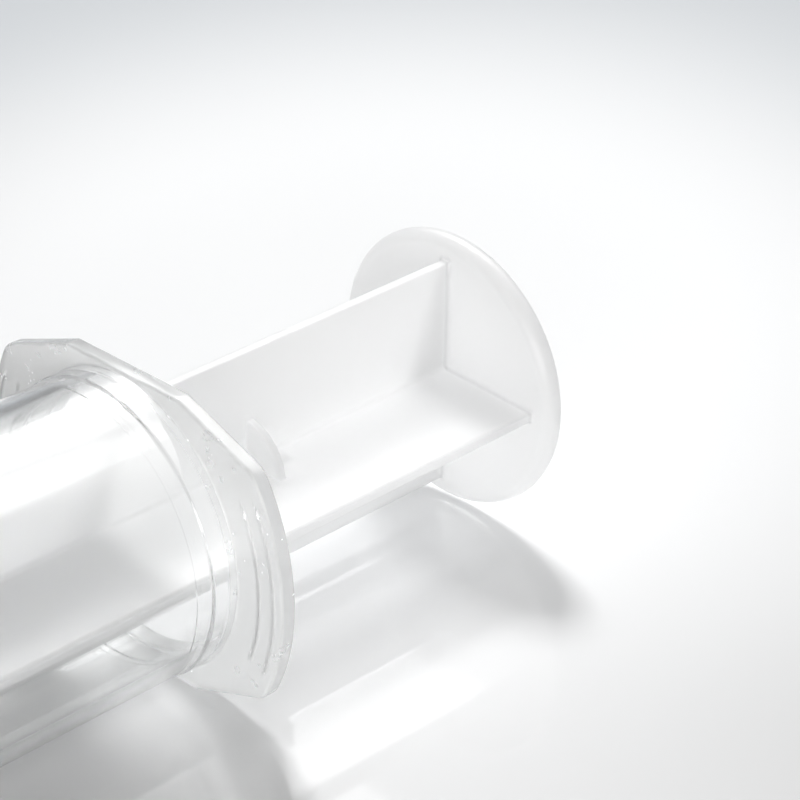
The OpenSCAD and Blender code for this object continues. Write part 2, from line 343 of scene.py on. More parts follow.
def show(name, data):
    """Puts a mesh, a text, a lamp or a camera in the scene, at the origin."""
    shown = bpy.data.objects.new(name, data)
    bpy.context.scene.collection.objects.link(shown)
    return shown


def finished_mesh(maker):
    """The plain mesh that a maker gives, which is then taken away with its modifiers."""
    bpy.context.view_layer.update()
    seen = maker.evaluated_get(bpy.context.evaluated_depsgraph_get())
    mesh = bpy.data.meshes.new_from_object(seen)
    maker.modifiers.clear()
    bpy.data.objects.remove(maker)
    return mesh


def settle(piece, body, slot, *nodes):
    """Hangs a finished piece on the body that carries it and hides the solids it stands for; slot, its
    finish, is not used.
    """
    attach(piece, body)
    if nodes:
        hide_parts(*nodes)


# Node work


def add_node(tree, kind, inputs=None, **settings):
    """A node with its settings and its inputs, given as values or as sockets."""
    node = tree.nodes.new(kind)
    for key, value in settings.items():
        setattr(node, key, value)
    for key, value in (inputs or {}).items():
        if isinstance(value, bpy.types.NodeSocket):
            tree.links.new(value, node.inputs[key])
        else:
            node.inputs[key].default_value = value
    return node


def math_node(tree, operation, *values):
    """The result of one operation on values or sockets."""
    return add_node(tree, "ShaderNodeMath", dict(enumerate(values)), operation=operation).outputs[0]


def axis_value(tree, vector, axis):
    """A vector's value along one axis."""
    return add_node(tree, "ShaderNodeSeparateXYZ", {0: vector}).outputs[axis]


def length_over(tree, vector, axes):
    """A vector's length over the axes that are 1, without those that are 0."""
    kept = add_node(tree, "ShaderNodeVectorMath", {0: vector, 1: axes}, operation="MULTIPLY").outputs[0]
    return add_node(tree, "ShaderNodeVectorMath", {0: kept}, operation="LENGTH").outputs["Value"]


def colour_between(tree, part, first, second):
    """A colour between two others, each given as a value or a socket."""
    return add_node(tree, "ShaderNodeMix", {
        "Factor": part, "A": first, "B": second,
    }, data_type="RGBA").outputs[2]


def soft_step(tree, value, places, results):
    """A value's smooth step between two results, as it goes between two places."""
    return add_node(tree, "ShaderNodeMapRange", {
        "Value": value, "From Min": places[0], "From Max": places[1],
        "To Min": results[0], "To Max": results[1],
    }, interpolation_type="SMOOTHSTEP").outputs[0]


# Barrel


# Points round the barrel, rings along its thread and over a grip ridge, and steps of the flange's corners
BARREL_AROUND, THREAD_RINGS, RIDGE_RINGS, CORNER_STEPS = 360, 44, 12, 6

# Flank of the thread, in shares of half the distance between its two starts
THREAD_FLANK = (0.42, 0.26)

# Where the thread rises to its full height, from the socket's mouth and from its floor
THREAD_MOUTH, THREAD_FLOOR = (0.3 * MM, 0.8 * MM), (0.32 * MM, 1.12 * MM)

# Most of the flange's height above the band that the fillet and the edge's rounding take
FILLET_SHARE, EDGE_SHARE = 0.25, 0.5

# Share of the face that the ridges' rings may take where an ear is low, from the first to the deepest
RIDGE_NEAR, RIDGE_FAR = 0.15, 0.95

# How far the rings of a ridge reach, for its half width, and the room in which it fades on a low ear
RIDGE_REACH, RIDGE_FADE = 1.15, 0.3 * MM

# From the band's fillet to the first ring on the flange's face, at most, and as a share of its height
FACE_START, FACE_SHARE = 0.3 * MM, 0.03

# Length of the retaining ring's slopes for its height, and the mouth's first ring for its rounding
RING_SLOPE, MOUTH_START = 4, 1.6

# How far beside a rounded edge the ring that holds it lies, as a share of the rounding
BESIDE = 0.1


class EarOutline:
    """The flange's outline, as a distance from the axis at each angle."""

    def __init__(self, sizes, turns):
        self.flat_z = BARREL_HIGH.z
        self.slope = sizes.ear_slope
        self.round = sizes.ear_round
        self.end_r = sizes.ear_end_r
        self.end_y = BARREL_HIGH.y - sizes.ear_end_r
        self.ways = np.stack([abs(np.cos(turns)), abs(np.sin(turns))], 1)
        self.across = np.array((math.sin(self.slope), math.cos(self.slope)))
        self.corner = np.array((sizes.flat_w / 2, self.flat_z))
        swing = self.end_r - self.round
        reach = self.across @ (self.corner - (self.end_y, 0)) - self.round
        self.corner_turn = math.asin(reach / swing) - self.slope
        self.middle = np.array((self.end_y, 0)) + swing * np.array(
            (math.cos(self.corner_turn), math.sin(self.corner_turn))
        )

    def to_circle(self, centre, radius):
        """Distance along each way to the far side of a circle."""
        along = self.ways @ centre
        return along + np.sqrt(np.maximum(along**2 - centre @ centre + radius**2, 0))

    def at(self, inset):
        """Distance to the outline drawn in by an inset."""
        flat = (self.flat_z - inset) / np.maximum(self.ways[:, 1], 1e-9)
        sloped = (self.across @ self.corner - inset) / (self.ways @ self.across)
        end = self.to_circle(np.array((self.end_y, 0)), self.end_r - inset)
        plain = np.minimum(np.minimum(flat, sloped), end)
        if inset >= self.round:
            return plain
        rounded = self.to_circle(self.middle, self.round - inset)
        hit = self.ways * rounded[:, None] - self.middle
        turn = np.arctan2(hit[:, 1], hit[:, 0])
        in_corner = (turn > self.corner_turn) & (turn < math.pi / 2 - self.slope)
        return np.where(in_corner, rounded, plain)

    def end_angle(self, distance):
        """Angle of each point about the centre of its ear's end."""
        hit = self.ways * distance[:, None] - (self.end_y, 0)
        return np.arctan2(hit[:, 1], hit[:, 0])


def bump(place):
    """Smooth rise and fall for places from -1 to 1, zero outside."""
    return np.where(abs(place) < 1, 0.5 + 0.5 * np.cos(np.pi * np.clip(place, -1, 1)), 0)


def step_up(place, low, high):
    """Smooth step from 0 to 1 for places from low to high."""
    place = np.clip((place - low) / (high - low), 0, 1)
    return place * place * (3 - 2 * place)


def thread_ridge(sizes, turns, x):
    """Height of the double lock thread at each angle of the socket's wall."""
    from_mouth = x - sizes.tip_proud
    phase = turns / math.pi - 2 * from_mouth / sizes.thread_lead
    off_crest = 2 * abs((phase + 0.5) % 1 - 0.5)
    ridge = step_up(off_crest, *THREAD_FLANK)
    ends = step_up(from_mouth, *THREAD_MOUTH) * step_up(sizes.socket_depth - from_mouth, *THREAD_FLOOR)
    return sizes.thread_step * ridge * ends


def barrel_rings(sizes):
    """Rings of the whole barrel, from the tip over the outside to the mouth and back through the bore."""
    turns = np.linspace(0, 2 * math.pi, BARREL_AROUND, endpoint=False)
    outline = EarOutline(sizes, turns)
    lathe = Lathe(turns)
    ring = lathe.ring

    bore_r = sizes.tube_r - sizes.wall
    band_r = sizes.tube_r + sizes.band_step
    mouth_x = BARREL_HIGH.x
    flange_x = mouth_x - sizes.flange_t
    socket_floor = sizes.tip_proud + sizes.socket_depth
    cone_start = socket_floor + sizes.shoulder_wall
    bore_start = cone_start + sizes.shoulder_len
    slope = sizes.shoulder_len / (bore_r - sizes.lumen_r)
    collar_r = sizes.socket_r + sizes.collar_wall
    tip_root = sizes.tip_r + sizes.taper * socket_floor
    collar_round = sizes.collar_wall / 4
    thread_end = socket_floor - sizes.thread_start

    # Tip, socket, collar, shoulder and tube
    rings = lathe.profile([
        (0, sizes.lumen_r, 0),
        (0, sizes.tip_r, sizes.tip_round),
        (socket_floor, tip_root, sizes.socket_round),
        (socket_floor, sizes.socket_r, sizes.socket_round),
        (thread_end, sizes.socket_r, 0),
    ])
    for i in range(1, THREAD_RINGS):
        x = thread_end - (sizes.socket_depth - 2 * sizes.thread_start) * i / THREAD_RINGS
        rings.append(ring(x, sizes.socket_r - thread_ridge(sizes, turns, x)))
    rings += lathe.profile([
        (sizes.tip_proud + sizes.thread_start, sizes.socket_r, 0),
        (sizes.tip_proud, sizes.socket_r, collar_round),
        (sizes.tip_proud, collar_r, collar_round),
        (socket_floor + slope * (collar_r - sizes.lumen_r), collar_r, sizes.collar_root),
        (socket_floor + slope * (sizes.tube_r - sizes.lumen_r), sizes.tube_r, sizes.shoulder_round),
        (flange_x - sizes.band_len - sizes.band_step, sizes.tube_r, sizes.band_root),
        (flange_x - sizes.band_len, band_r, sizes.band_round),
        (flange_x - 2 * sizes.band_fillet, band_r, 0),
    ], steps=6)

    # Flange: band fillet, finger side with its grip ridges, rounded edge, back
    outer = outline.at(0)
    room = outer - band_r
    fillet = np.minimum(sizes.band_fillet, FILLET_SHARE * room)
    front_round = np.minimum(sizes.edge_round, EDGE_SHARE * room)
    for rise, gap in arc(CORNER_STEPS):
        rings.append(ring(flange_x - fillet * gap, band_r + fillet * rise))
    face_start = band_r + fillet
    front_edge = outer - front_round
    half_w = sizes.grip_w / 2
    deepest = sizes.grip_inset + sizes.grip_pitch + 2 * half_w
    rings.append(ring(flange_x, face_start + np.minimum(FACE_START, FACE_SHARE * room)))
    for row in (1, 0):
        middle = sizes.grip_inset + row * sizes.grip_pitch
        for place in np.linspace(-RIDGE_REACH, RIDGE_REACH, RIDGE_RINGS):
            inset = middle - place * half_w
            wanted = front_edge - (outline.at(inset) if inset > 0 else outer)
            limit = (front_edge - face_start) * (RIDGE_NEAR + (RIDGE_FAR - RIDGE_NEAR) * inset / deepest)
            r = front_edge - np.minimum(wanted, limit)
            mask = step_up(sizes.grip_angle - outline.end_angle(r), 0, sizes.grip_fade)
            free = step_up(limit - wanted, 0, RIDGE_FADE)
            rings.append(ring(flange_x - sizes.grip_t * bump(place) * mask * free, r))
    rings.append(ring(flange_x, front_edge - BESIDE * front_round))
    for rise, gap in arc(CORNER_STEPS):
        rings.append(ring(flange_x + front_round * rise, outer - front_round * gap))
    rings.append(ring(flange_x + sizes.flange_t / 2, outer))
    for rise, gap in arc(CORNER_STEPS)[::-1]:
        rings.append(ring(mouth_x - sizes.edge_round * rise, outline.at(sizes.edge_round * gap)))
    rings.append(ring(mouth_x, outline.at((1 + BESIDE) * sizes.edge_round)))

    # Bore, retaining ring, shoulder cone and channel
    ring_end = flange_x - sizes.ring_gap
    ring_start = ring_end - sizes.ring_len
    ring_r = bore_r - sizes.ring_step
    rise = RING_SLOPE * sizes.ring_step
    rings += lathe.profile([
        (mouth_x, bore_r + MOUTH_START * sizes.mouth_round, 0),
        (mouth_x, bore_r, sizes.mouth_round),
        (ring_end, bore_r, sizes.ring_back),
        (ring_end - rise, ring_r, sizes.ring_back),
        (ring_start + rise, ring_r, sizes.ring_front),
        (ring_start, bore_r, sizes.ring_front),
        (bore_start, bore_r, sizes.bore_round),
        (cone_start, sizes.lumen_r, sizes.cone_round),
        (0, sizes.lumen_r, 0),
    ], steps=5)[:-1]
    return rings


class SYRINGE_OT_barrel(bpy.types.Operator):
    """Build the clear barrel with its flange, band, retaining ring, tip and lock collar"""

    bl_idname = "syringe.barrel"
    bl_label = "Barrel"

    def execute(self, context):
        sizes = context.scene.syringe_barrel
        plastics = [clear_tube(context), frosted_flange(context)]
        piece = loft("clear_barrel", barrel_rings(sizes), True, plastics)
        flange_start = BARREL_HIGH.x - sizes.flange_t - sizes.band_fillet / 2
        for face in piece.data.polygons:
            face.material_index = int(face.center.x > flange_start)
        settle(piece, "barrel", "clear_barrel", "barrel")
        return {"FINISHED"}


# Plunger rod


# Rings in front of the web disc, behind it, and round the thumb disc's edge
FRONT_RINGS, BACK_RINGS, RIM_RINGS = 24, 9, 16

# Steps of each fillet along the rod, and of the rounding of a vane's edge
FILLET_STEPS, EDGE_STEPS = 5, 5

# Least rounding between two vanes, and the places along a vane's side that have a point
LEAST_ROUND = 0.02 * MM
SIDE_PARTS = (0.03, 0.25, 0.5, 0.75, 0.97)

# Point on a vane's edge beside its rounding, as a share of the flat part
EDGE_POINT = 0.6

# Largest step round the rod and the least one that is kept, in degrees
TURN_STEP, LEAST_TURN = 2, 0.12

# How far the seat disc's last ring lies inside the vanes' reach, and how far past it a fillet may go
SEAT_HOLD, PAST_VANE = 0.4 * MM, 0.15 * MM

# From the seat disc's last ring to where the vanes' fillet starts
SEAT_STEP = 0.02 * MM

# Rings that hold the web disc: their place off its faces, and their radius as a share of the disc's
WEB_OFF, WEB_SHARE = 0.05 * MM, 0.6

# Radii of the rings on the thumb disc's back, and of the one on the snap head's front
BACK_SHARES, HEAD_SHARE = (0.91, 0.6, 0.2), 0.5


def cross_quarter(sizes, grow):
    """One quarter of the cross of vanes, from the middle of one vane's edge to the next."""
    half_t = sizes.vane_t / 2 + grow
    reach = sizes.vane_r + grow
    tip_round = min(sizes.vane_round + grow, half_t)
    root = max(sizes.root_round - grow, LEAST_ROUND)
    points = [(reach, 0), (reach, EDGE_POINT * (half_t - tip_round))]
    points += [(reach - tip_round * rise, half_t - tip_round * gap) for rise, gap in arc(EDGE_STEPS)]
    centre = half_t + root
    for part in SIDE_PARTS:
        points.append((reach - tip_round - part * (reach - tip_round - centre), half_t))
    for turn in np.linspace(0, math.pi / 4, 5):
        points.append((centre - root * math.sin(turn), centre - root * math.cos(turn)))
    points = np.array(points)
    mirrored = points[::-1, ::-1][1:-1]
    return np.concatenate([points, mirrored])


class CrossOutline:
    """The cross of vanes, as a distance from the axis at angles that suit both the vanes and the discs."""

    def __init__(self, sizes):
        self.sizes = sizes
        wanted = [np.radians(np.arange(0, 90, TURN_STEP))]
        for grow in (0, sizes.root_round):
            quarter = cross_quarter(sizes, grow)
            wanted.append(np.arctan2(quarter[:, 1], quarter[:, 0]))
        wanted = np.sort(np.concatenate(wanted))
        apart = np.concatenate([[True], np.diff(wanted) > math.radians(LEAST_TURN)])
        self.quarter = wanted[apart]
        self.turns = np.concatenate([self.quarter + k * math.pi / 2 for k in range(4)]) + sizes.turn

    def at(self, grow):
        """Distance to the cross grown by a fillet."""
        points = cross_quarter(self.sizes, grow)
        points = np.concatenate([points, [(0, points[0, 0])]])
        angles = np.arctan2(points[:, 1], points[:, 0])
        side = np.clip(np.searchsorted(angles, self.quarter, "right") - 1, 0, len(points) - 2)
        corner = points[side].T
        along = points[side + 1].T - corner
        way = np.cos(self.quarter), np.sin(self.quarter)
        r = (corner[0] * along[1] - corner[1] * along[0]) / (way[0] * along[1] - way[1] * along[0])
        return np.tile(r, 4)


def rod_rings(sizes):
    """Rings of the rod, from the snap head to the thumb disc's back."""
    cross = CrossOutline(sizes)
    lathe = Lathe(cross.turns)
    ring = lathe.ring

    thumb_back = ROD_HIGH.x
    thumb_x = thumb_back - sizes.thumb_t
    thumb_r = ROD_HIGH.y
    head_x = ROD_LOW.x
    neck_x = head_x + sizes.head_len
    seat_x = neck_x + sizes.neck_len
    seat_back = seat_x + sizes.seat_t

    rings = lathe.profile([
        (head_x, HEAD_SHARE * sizes.neck_r, 0),
        (head_x, sizes.neck_r, sizes.head_edge),
        (head_x + sizes.head_len / 2, sizes.head_r, sizes.head_bulge),
        (neck_x, sizes.head_r, sizes.head_edge),
        (neck_x, sizes.neck_r, sizes.neck_round),
        (seat_x, sizes.neck_r, sizes.neck_round),
        (seat_x, sizes.vane_r, sizes.seat_round),
        (seat_back, sizes.vane_r, sizes.seat_round),
        (seat_back, sizes.vane_r - SEAT_HOLD, 0),
    ])

    def blended(x, grow, least=0, most=1):
        """The cross grown by a fillet, kept between two radii."""
        return ring(x, np.clip(cross.at(grow), least, most))

    # Vanes with a fillet at the seat and at the thumb disc, and the web disc between
    fillet = sizes.root_round

    def fillet_rings(x, way, face_r):
        """Rings of the fillet where the vanes meet a round face at x, on its side given by way."""
        found = []
        on_vane = max(min(face_r, sizes.vane_r + PAST_VANE), sizes.vane_r)
        for i, (rise, gap) in enumerate(arc(FILLET_STEPS)):
            most = on_vane if i < FILLET_STEPS else face_r
            found.append(blended(x + way * fillet * gap, fillet * rise, 0, most))
        return found

    rings += fillet_rings(seat_back, 1, sizes.vane_r - SEAT_HOLD - SEAT_STEP)[::-1]
    web_end = thumb_x - sizes.web_x
    web_start = web_end - sizes.web_t
    spread = np.linspace(seat_back + fillet, web_start - fillet, FRONT_RINGS)[1:-1]
    rings += [blended(x, 0) for x in spread]
    rings.append(blended(web_start - WEB_OFF, 0))
    for x, r in round_profile([
        (web_start, WEB_SHARE * sizes.web_r, 0),
        (web_start, sizes.web_r, sizes.web_round),
        (web_end, sizes.web_r, sizes.web_round),
        (web_end, WEB_SHARE * sizes.web_r, 0),
    ]):
        rings.append(blended(x, 0, r))
    rings.append(blended(web_end + WEB_OFF, 0))
    spread = np.linspace(web_end, thumb_x - fillet, BACK_RINGS)[1:-1]
    rings += [blended(x, 0) for x in spread]
    rings += fillet_rings(thumb_x, -1, thumb_r - sizes.thumb_t / 2)

    # Thumb disc's rounded edge and back
    rim = sizes.thumb_t / 2
    rings += [ring(thumb_x + rim * rise, thumb_r - rim * gap) for rise, gap in arc(RIM_RINGS, math.pi)]
    rings += [ring(thumb_back, part * thumb_r) for part in BACK_SHARES]
    return rings


class SYRINGE_OT_rod(bpy.types.Operator):
    """Build the milky plunger rod with its vanes, web disc, snap head and thumb disc"""

    bl_idname = "syringe.rod"
    bl_label = "Plunger rod"

    def execute(self, context):
        sizes, finishes = context.scene.syringe_rod, context.scene.syringe_finishes
        thin = milky_plastic(context, "milky_plastic_thin", finishes.vane_pass)
        thick = milky_plastic(context, "milky_plastic_thick", finishes.disc_pass)
        piece = loft("milky_rod", rod_rings(sizes), False, [thin, thick])
        disc_start = ROD_HIGH.x - sizes.thumb_t - sizes.root_round / 2
        for face in piece.data.polygons:
            face.material_index = int(face.center.x > disc_start)
        settle(piece, "plunger", "milky_rod", "plunger_rod")
        return {"FINISHED"}


class SYRINGE_OT_stopper(bpy.types.Operator):
    """Give the stopper its rubber"""

    bl_idname = "syringe.stopper"
    bl_label = "Stopper"

    def execute(self, context):
        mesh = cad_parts["stopper"].data
        mesh.materials.clear()
        mesh.materials.append(stopper_rubber(context))
        return {"FINISHED"}


# Printed scale


# Points along a printed line, and steps along a bend of a number
LINE_POINTS, NUMBER_STEPS = 20, 6

# Height of a number as a share of its font's size
NUMBER_SHARE = 0.7

# Width of the strips in which a number bends round the tube
STRIP = 0.5 * MM


def scale_tree(values, every, material):
    """Geometry nodes that lay the printed lines round the tube, with an input for each value."""
    tree = bpy.data.node_groups.new("printed_lines", "GeometryNodeTree")
    sockets = {}
    for name, value in values.items():
        kind = "NodeSocketInt" if isinstance(value, int) else "NodeSocketFloat"
        sockets[name] = tree.interface.new_socket(name, in_out="INPUT", socket_type=kind).identifier
    tree.interface.new_socket("Geometry", in_out="OUTPUT", socket_type="NodeSocketGeometry")
    given = add_node(tree, "NodeGroupInput").outputs

    def along_tube(value):
        """A vector along the tube."""
        return add_node(tree, "ShaderNodeCombineXYZ", {"X": value}).outputs[0]

    def multiple(count):
        """True for each line whose number is a multiple of count."""
        index = add_node(tree, "GeometryNodeInputIndex").outputs[0]
        return math_node(tree, "LESS_THAN", math_node(tree, "MODULO", index, count), 0.5)

    def unless(chosen):
        """True for the lines that aren't chosen."""
        return math_node(tree, "SUBTRACT", 1, chosen)

    row = add_node(tree, "GeometryNodeMeshLine", {
        "Count": given["Lines"],
        "Start Location": along_tube(given["First line"]),
        "Offset": along_tube(given["Pitch"]),
    }).outputs[0]
    flat = add_node(tree, "GeometryNodeCurvePrimitiveQuadrilateral", {
        "Width": given["Ink thickness"], "Height": given["Line width"],
    }).outputs[0]
    half_ink = math_node(tree, "MULTIPLY", given["Ink thickness"], 0.5)
    ink_middle = math_node(tree, "ADD", given["Tube radius"], half_ink)
    joined = add_node(tree, "GeometryNodeJoinGeometry")
    longs, middles = (multiple(count) for count in every)
    for name, chosen in (
        ("Long line", longs),
        ("Middle line", math_node(tree, "MULTIPLY", middles, unless(longs))),
        ("Short line", unless(middles)),
    ):
        span = math_node(tree, "DIVIDE", given[name], given["Tube radius"])
        arc = add_node(tree, "GeometryNodeCurveArc", {
            "Resolution": LINE_POINTS,
            "Radius": ink_middle,
            "Start Angle": math_node(tree, "SUBTRACT", math.pi, span),
            "Sweep Angle": span,
        }).outputs["Curve"]
        solid = add_node(tree, "GeometryNodeCurveToMesh", {
            "Curve": arc, "Profile Curve": flat, "Fill Caps": True,
        }).outputs[0]
        across = add_node(tree, "GeometryNodeTransform", {
            "Geometry": solid, "Rotation": (0, math.pi / 2, 0),
        }).outputs[0]
        placed = add_node(tree, "GeometryNodeInstanceOnPoints", {
            "Points": row, "Selection": chosen, "Instance": across,
        }).outputs[0]
        tree.links.new(placed, joined.inputs[0])
    real = add_node(tree, "GeometryNodeRealizeInstances", {0: joined.outputs[0]}).outputs[0]
    painted = add_node(tree, "GeometryNodeSetMaterial", {"Geometry": real, "Material": material}).outputs[0]
    add_node(tree, "NodeGroupOutput", {0: painted})
    return tree, sockets


def line_place(sizes, count):
    """Place along the tube of a line's middle, counted from the first one."""
    first = MARKS_LOW.x + sizes.line_w / 2
    last = MARKS_HIGH.x - sizes.line_w / 2
    return first + (last - first) * count / (sizes.lines - 1)


class SYRINGE_OT_scale(bpy.types.Operator):
    """Print the lines of the scale round the top of the tube"""

    bl_idname = "syringe.scale"
    bl_label = "Scale lines"

    def execute(self, context):
        sizes, barrel = context.scene.syringe_print, context.scene.syringe_barrel
        first = line_place(sizes, 0)
        values = {
            "Lines": sizes.lines,
            "First line": first,
            "Pitch": line_place(sizes, 1) - first,
            "Tube radius": barrel.tube_r,
            "Line width": sizes.line_w,
            "Ink thickness": sizes.ink_t,
            "Long line": sizes.long,
            "Middle line": sizes.middle,
            "Short line": sizes.short,
        }
        every = sizes.long_every, sizes.middle_every
        tree, sockets = scale_tree(values, every, printed_ink(context))
        maker = show("scale_maker", bpy.data.meshes.new("scale_maker"))
        modifier = maker.modifiers.new("Printed lines", "NODES")
        modifier.node_group = tree
        for name, value in values.items():
            modifier[sockets[name]] = value
        mesh = finished_mesh(maker)
        if not mesh.polygons:
            raise RuntimeError("the printed lines came out empty")
        settle(show("printed_lines", mesh), "barrel", "ink", "scale_marks")
        return {"FINISHED"}


def wrap_on_tube(mesh, radius, x, turn_off):
    """Bends flat lettering round the top of the tube, with its own X going round and its Y to the tip."""
    work = bmesh.new()
    work.from_mesh(mesh)
    low = min(v.co.x for v in work.verts)
    high = max(v.co.x for v in work.verts)
    for i in range(1, int((high - low) / STRIP) + 1):
        everything = work.verts[:] + work.edges[:] + work.faces[:]
        bmesh.ops.bisect_plane(work, geom=everything, plane_co=(low + i * STRIP, 0, 0), plane_no=(1, 0, 0))
    for v in work.verts:
        across, up, height = v.co
        turn = (across + turn_off) / radius
        r = radius + height
        v.co = (x - up, r * math.sin(turn), r * math.cos(turn))
    bmesh.ops.recalc_face_normals(work, faces=work.faces)
    work.to_mesh(mesh)
    work.free()


class SYRINGE_OT_numbers(bpy.types.Operator):
    """Print the numbers beside the long lines of the scale"""

    bl_idname = "syringe.numbers"
    bl_label = "Scale numbers"

    def execute(self, context):
        sizes, barrel = context.scene.syringe_print, context.scene.syringe_barrel
        whole = bmesh.new()
        for count in range(0, sizes.lines, sizes.long_every):
            text = bpy.data.curves.new(f"number_{count}", "FONT")
            text.body = str(count)
            text.size = sizes.digit_h / NUMBER_SHARE
            text.align_x, text.align_y = "RIGHT", "CENTER"
            text.extrude = sizes.ink_t / 2
            text.resolution_u = NUMBER_STEPS
            mesh = finished_mesh(show(f"number_{count}", text))
            for v in mesh.vertices:
                v.co.z += sizes.ink_t / 2
            wrap_on_tube(mesh, barrel.tube_r, line_place(sizes, count), -sizes.digit_gap)
            whole.from_mesh(mesh)
            bpy.data.meshes.remove(mesh)
        bmesh.ops.remove_doubles(whole, verts=whole.verts, dist=SAME_PLACE)
        mesh = bpy.data.meshes.new("printed_numbers")
        whole.to_mesh(mesh)
        whole.free()
        mesh.materials.append(printed_ink(context))
        settle(show("printed_numbers", mesh), "barrel", "ink")
        return {"FINISHED"}


# Finishes


# Part of the noise's range that its values mostly keep to
NOISE_SPAN = (0.3, 0.7)

# Index of refraction of the plastics, of the rubber and of the table's gloss
PLASTIC_IOR, RUBBER_IOR, TABLE_IOR = 1.49, 1.5, 1.42

# How squarely a surface faces along the axis where the rim's clearness ends and the faces' starts
RIM_TO_FACE = (0.3, 0.9)

# Painted shade lines where the vanes meet one another and the thumb disc, in shares of their fillet
ROOT_SHADE, FOOT_SHADE, FOOT_SHADE_PLACE = (0.3, 0.9), (0.1, 0.5), 0.6


class Shader:
    """A new material whose nodes are made and joined by short calls."""

    def __init__(self, name):
        self.material = bpy.data.materials.new(name)
        self.material.use_nodes = True
        self.tree = self.material.node_tree
        self.surface = self.tree.nodes["Principled BSDF"]
        self.place = self.node("ShaderNodeTexCoord").outputs["Object"]

    def node(self, kind, inputs=None, **settings):
        """A node of this material, with its settings and its inputs."""
        return add_node(self.tree, kind, inputs, **settings)

    def set(self, **values):
        """Values or sockets for the surface's own inputs, with _ for a space."""
        for key, value in values.items():
            socket = self.surface.inputs[key.replace("_", " ")]
            if isinstance(value, bpy.types.NodeSocket):
                self.tree.links.new(value, socket)
            else:
                socket.default_value = value

    def math(self, operation, *values):
        """The result of one operation in this material."""
        return math_node(self.tree, operation, *values)

    def noise(self, size, detail=3, stretch=(1, 1, 1)):
        """Noise whose marks are about the size given, from 0 to 1."""
        mapping = self.node("ShaderNodeMapping", {"Vector": self.place, "Scale": stretch})
        return self.node("ShaderNodeTexNoise", {
            "Vector": mapping.outputs[0], "Scale": 1 / size, "Detail": detail,
        }).outputs["Fac"]

    def spread(self, value, low, high, from_low, from_high):
        """Maps a value onto another range, without going past its ends."""
        return self.node("ShaderNodeMapRange", {
            "Value": value, "From Min": from_low, "From Max": from_high, "To Min": low, "To Max": high,
        }).outputs[0]

    def uneven(self, size, low, high):
        """A value that wanders between two others, in marks of about the size given."""
        return self.spread(self.noise(size), low, high, *NOISE_SPAN)

    def let_lamps_through(self, part):
        """Lets part of the lamps' light pass at each face, so that it reaches what is behind."""
        film = self.node("ShaderNodeBsdfTransparent", {"Color": (part, part, part, 1)}).outputs[0]
        from_lamp = self.node("ShaderNodeLightPath").outputs["Is Shadow Ray"]
        mixed = self.node("ShaderNodeMixShader", {0: from_lamp, 1: self.surface.outputs[0], 2: film})
        self.tree.links.new(mixed.outputs[0], self.tree.nodes["Material Output"].inputs["Surface"])

    def bump(self, height, distance, strength=0.5):
        """Relief for the surface's normal, its height in metres."""
        return self.node("ShaderNodeBump", {
            "Height": height, "Distance": distance, "Strength": strength,
        }).outputs[0]


def clear_plastic(context, name, lamps_pass):
    """Clear moulded plastic with faint waves, still without its roughness and clearness."""
    shader = Shader(name)
    waves = shader.noise(9 * MM, detail=1, stretch=(0.35, 1, 1))
    shader.set(
        Base_Color=(*context.scene.syringe_finishes.clear, 1),
        IOR=PLASTIC_IOR,
        Normal=shader.bump(waves, 0.01 * MM),
    )
    shader.let_lamps_through(lamps_pass)
    return shader


def clear_tube(context):
    """Clear plastic of the tube, slightly hazy."""
    finishes = context.scene.syringe_finishes
    shader = clear_plastic(context, "clear_tube", finishes.tube_pass)
    shader.set(
        Roughness=shader.uneven(6 * MM, 0.03, 0.07),
        Transmission_Weight=finishes.tube_clear,
    )
    return shader.material


def frosted_flange(context):
    """Frosted plastic of the flange, clearer on its rim than on its faces."""
    finishes = context.scene.syringe_finishes
    shader = clear_plastic(context, "frosted_flange", finishes.flange_pass)
    normal = shader.node("ShaderNodeNewGeometry").outputs["Normal"]
    facing = shader.math("ABSOLUTE", axis_value(shader.tree, normal, "X"))
    shader.set(
        Roughness=shader.uneven(2 * MM, 0.22, 0.28),
        Transmission_Weight=shader.spread(facing, finishes.rim_clear, finishes.face_clear, *RIM_TO_FACE),
    )
    return shader.material


def milky_plastic(context, name, lamps_pass):
    """Milky, half-translucent plastic with a fine satin skin, and painted shade darkening its colour where
    its walls meet.
    """
    shader = Shader(name)
    rod, finishes = context.scene.syringe_rod, context.scene.syringe_finishes
    radius = length_over(shader.tree, shader.place, (0, 1, 1))
    foot = ROD_HIGH.x - rod.thumb_t - FOOT_SHADE_PLACE * rod.root_round
    past_foot = shader.math("SUBTRACT", axis_value(shader.tree, shader.place, "X"), foot)
    off_foot = shader.math("ABSOLUTE", past_foot)
    shade_at_root = [rod.vane_t / 2 + part * rod.root_round for part in ROOT_SHADE]
    shade_at_foot = [part * rod.root_round for part in FOOT_SHADE]
    lines = [shader.spread(radius, 1, 0, *shade_at_root), shader.spread(off_foot, 1, 0, *shade_at_foot)]
    # Painted shade: the milky colour darkened along the lines where the vanes meet one another and the thumb
    # disc
    shaded_milky = [finishes.milky_dense * value for value in finishes.milky]
    in_shade_lines = shader.math("MAXIMUM", *lines)
    shader.set(
        Base_Color=colour_between(shader.tree, in_shade_lines, (*finishes.milky, 1), (*shaded_milky, 1)),
        Roughness=shader.uneven(3 * MM, 0.32, 0.42),
        IOR=PLASTIC_IOR,
        Subsurface_Weight=1.0,
        Subsurface_Radius=(1.0, 1.0, 1.0),
        Subsurface_Scale=finishes.milky_depth,
        Transmission_Weight=finishes.milky_clear,
        Normal=shader.bump(shader.noise(0.25 * MM, detail=2), 0.006 * MM),
    )
    shader.let_lamps_through(lamps_pass)
    return shader.material


